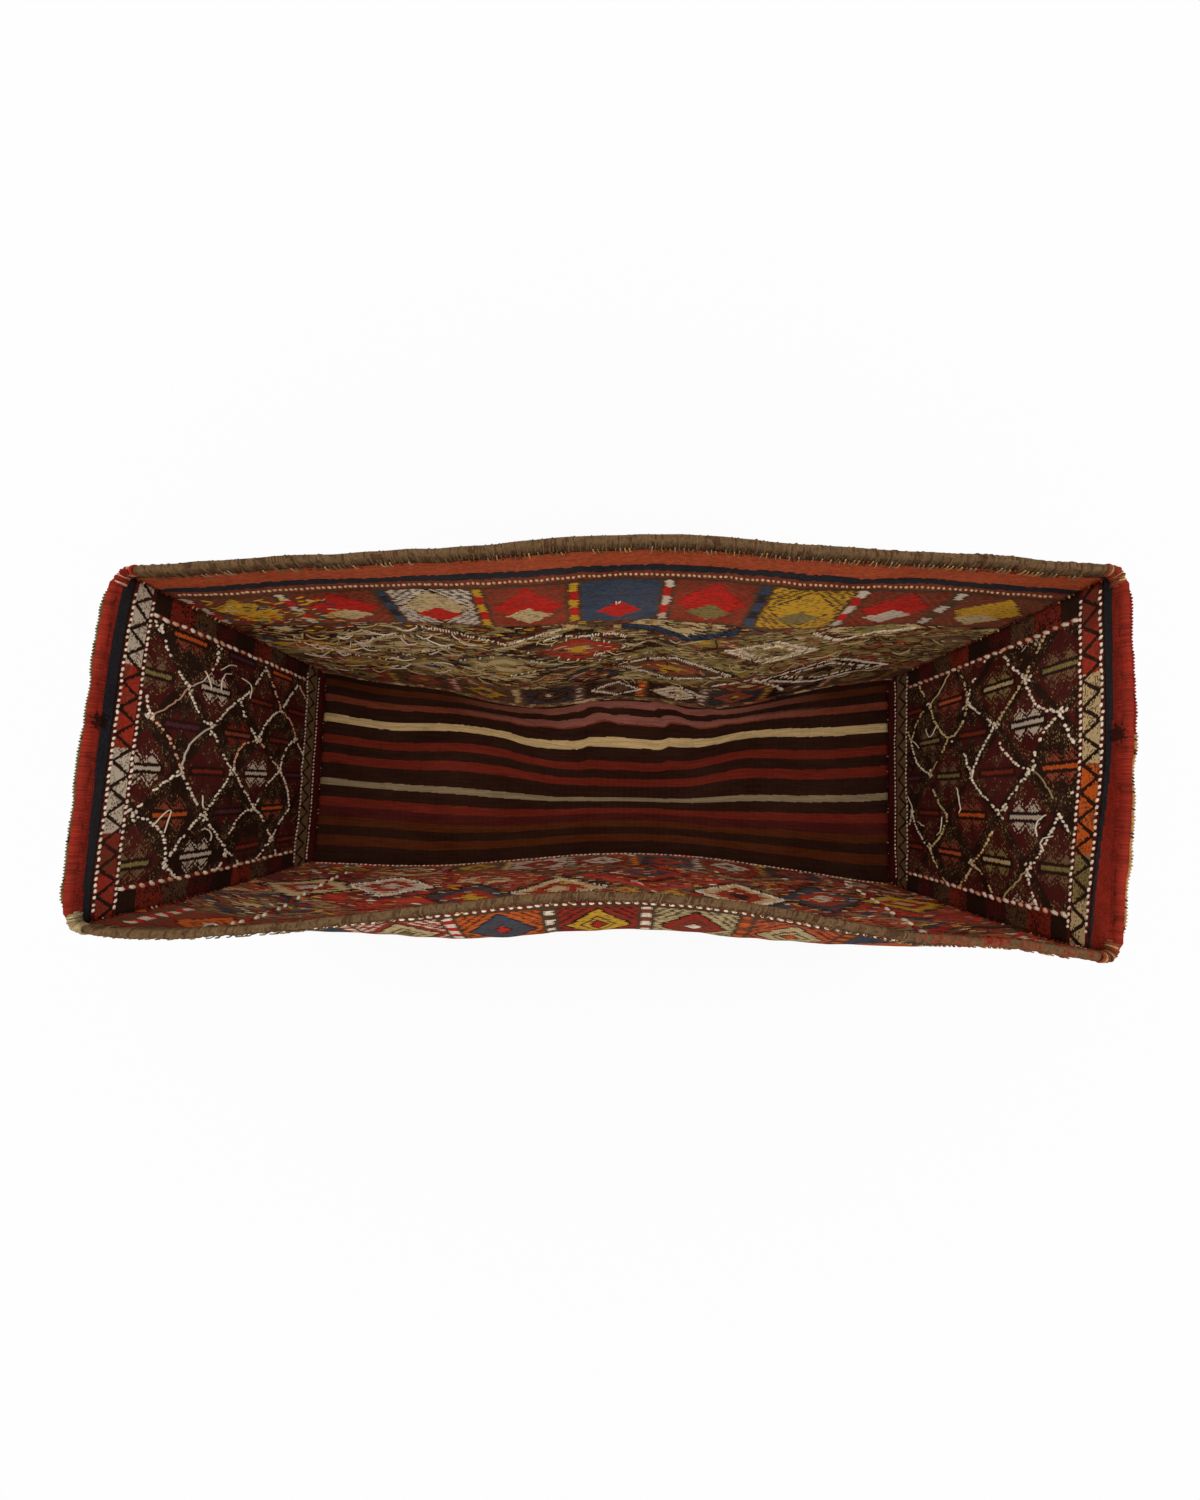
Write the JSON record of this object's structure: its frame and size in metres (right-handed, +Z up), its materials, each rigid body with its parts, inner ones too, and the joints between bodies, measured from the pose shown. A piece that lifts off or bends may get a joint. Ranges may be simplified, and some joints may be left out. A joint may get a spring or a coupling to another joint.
{
  "type": "woven bedding bag",
  "caption": "Box-shaped soft woven wool bedding bag, open at the top, with a striped base, patterned walls, bound rims and sewn-in end panels.",
  "frame": {"origin": "centre of the bounding box in plan, on the floor under the base", "axes": "+X along the length of the bag, +Y towards the back wall, +Z up out of the mouth"},
  "size_m": [1.1058, 0.4609, 0.4321],
  "materials": {
    "strip_cloth": "woven wool, matte",
    "end_cloth": "woven wool, matte",
    "binding_yarn": "overcast wool yarn, matte",
    "seam_yarn": "oversewn wool yarn, matte",
    "olive_yarn": "overcast wool yarn, matte",
    "camel_yarn": "overcast wool yarn, matte",
    "lashing_yarn": "wrapped wool yarn, matte"
  },
  "bodies": {
    "root": {"side_and_base_strip": "strip_cloth", "left_end_panel": "end_cloth", "right_end_panel": "end_cloth", "front_rim_binding": "binding_yarn", "back_rim_binding": "binding_yarn", "left_end_seam": "seam_yarn", "right_end_seam": "seam_yarn", "left_hem_edging": "olive_yarn", "right_hem_edging": "camel_yarn", "front_left_lashing": "lashing_yarn", "front_right_lashing": "lashing_yarn", "back_left_lashing": "lashing_yarn", "back_right_lashing": "lashing_yarn"}
  },
  "joints": []
}
